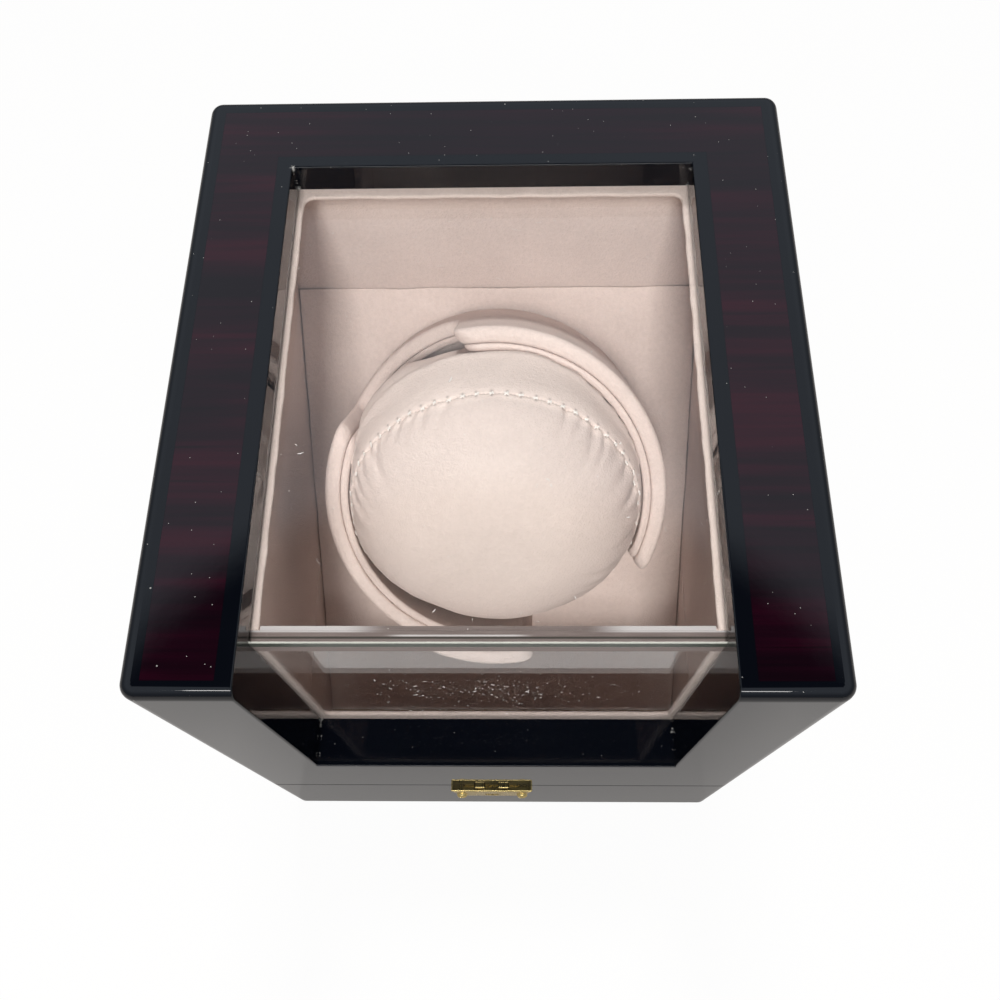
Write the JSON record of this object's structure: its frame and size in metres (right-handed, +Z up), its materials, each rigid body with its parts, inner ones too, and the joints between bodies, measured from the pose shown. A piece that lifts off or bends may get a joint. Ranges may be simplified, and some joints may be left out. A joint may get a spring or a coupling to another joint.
{
  "type": "watch winder",
  "caption": "Glossy black box with a hinged glass-topped lid, a suede lined chamber and a slanted motor-driven drum that turns a watch cushion.",
  "frame": {"origin": "centre of the underside, on the felt that the case stands on", "axes": "+X to the right seen from the front, -Y towards the front with the catch, +Z up"},
  "size_m": [0.17, 0.1965, 0.189],
  "materials": {
    "black_lacquer": "deep gloss black lacquer over fibreboard",
    "streaked_veneer": "streaked dark red veneer under gloss lacquer",
    "clear_glass": "clear float glass with ground edges",
    "suede": "pale pinkish beige microsuede",
    "cushion_suede": "pale pinkish beige microsuede over foam",
    "dark_felt": "black felt",
    "raw_board": "raw fibreboard",
    "polished_brass": "polished and clear coated",
    "screw_steel": "plain zinc plated",
    "black_plastic": "moulded, fine matt",
    "bearing_plastic": "natural acetal",
    "gear_plastic": "natural acetal",
    "green_board": "green solder mask"
  },
  "bodies": {
    "root": {"base_frame": "black_lacquer", "bottom_board": "raw_board", "bottom_screws": "screw_steel", "underside_felt": "dark_felt", "base_floor_lining": "suede", "base_wall_lining": "suede", "deck_board": "raw_board", "deck_cover": "suede", "left_cheek": "suede", "right_cheek": "suede", "rear_console_panel": "suede", "upper_bush": "bearing_plastic", "lower_bush": "bearing_plastic", "thrust_washer": "bearing_plastic", "gear_housing": "black_plastic", "housing_screws": "screw_steel", "gearbox_case": "black_plastic", "gearbox_screws": "screw_steel", "motor_can": "screw_steel", "dc_jack": "black_plastic", "jack_nut": "screw_steel", "selector_switch": "black_plastic", "selector_nut": "screw_steel", "circuit_board": "green_board", "board_standoffs": "bearing_plastic", "board_screws": "screw_steel", "lower_hinge_leaves": "polished_brass", "hinge_pins": "polished_brass", "lower_hinge_screws": "polished_brass", "catch_body": "polished_brass", "catch_screws": "polished_brass", "catch_spring": "screw_steel"},
    "lid": {"lid_frame": "black_lacquer", "veneer_inlay": "streaked_veneer", "top_pane": "clear_glass", "front_pane": "clear_glass", "packing_strips": "raw_board", "lid_back_lining": "suede", "lid_left_lining": "suede", "lid_right_lining": "suede", "lid_ceiling_lining": "suede", "lid_front_lining": "suede", "upper_hinge_leaves": "polished_brass", "upper_hinge_screws": "polished_brass", "hook_plate": "polished_brass", "hook_screws": "polished_brass"},
    "drum": {"cup_cover": "suede", "cup_lining": "suede", "cup_shell": "black_plastic", "cup_screws": "screw_steel", "cup_floor_pad": "suede", "drum_spindle": "screw_steel", "spindle_clip": "screw_steel", "drive_gear": "gear_plastic"},
    "pinion": {"motor_pinion": "gear_plastic", "output_shaft": "screw_steel"},
    "cushion": {"cushion": "cushion_suede"},
    "button": {"push_button": "polished_brass"},
    "knob": {"selector_knob": "black_plastic", "selector_shaft": "screw_steel"}
  },
  "joints": [
    {"name": "lid_hinge", "type": "hinge", "parent": "root", "child": "lid", "pos_m": [0, 0.0937, 0.0498], "axis": [-1, 0, 0], "range_deg": [0, 95]},
    {"name": "drum_spin", "type": "hinge", "parent": "root", "child": "drum", "pos_m": [0, 0.02709, 0.07781], "axis": [0, -0.6691, 0.7431], "continuous": true},
    {"name": "pinion_spin", "type": "hinge", "parent": "root", "child": "pinion", "pos_m": [0.0288, 0.02709, 0.07781], "axis": [0, -0.6691, 0.7431], "continuous": true},
    {"name": "cushion_slide", "type": "slide", "parent": "drum", "child": "cushion", "axis": [0, -0.6691, 0.7431], "range_m": [0, 0.01]},
    {"name": "button_press", "type": "slide", "parent": "root", "child": "button", "axis": [0, 1, 0], "range_m": [0, 0.0015], "stiffness_N_per_m": 400, "springref_m": -0.002},
    {"name": "knob_turn", "type": "hinge", "parent": "root", "child": "knob", "pos_m": [-0.032, 0.0915, 0.027], "axis": [0, 1, 0], "range_deg": [-135, 135]}
  ],
  "couplings": [
    {"joint": "pinion_spin", "follows": "drum_spin", "ratio": -3}
  ]
}
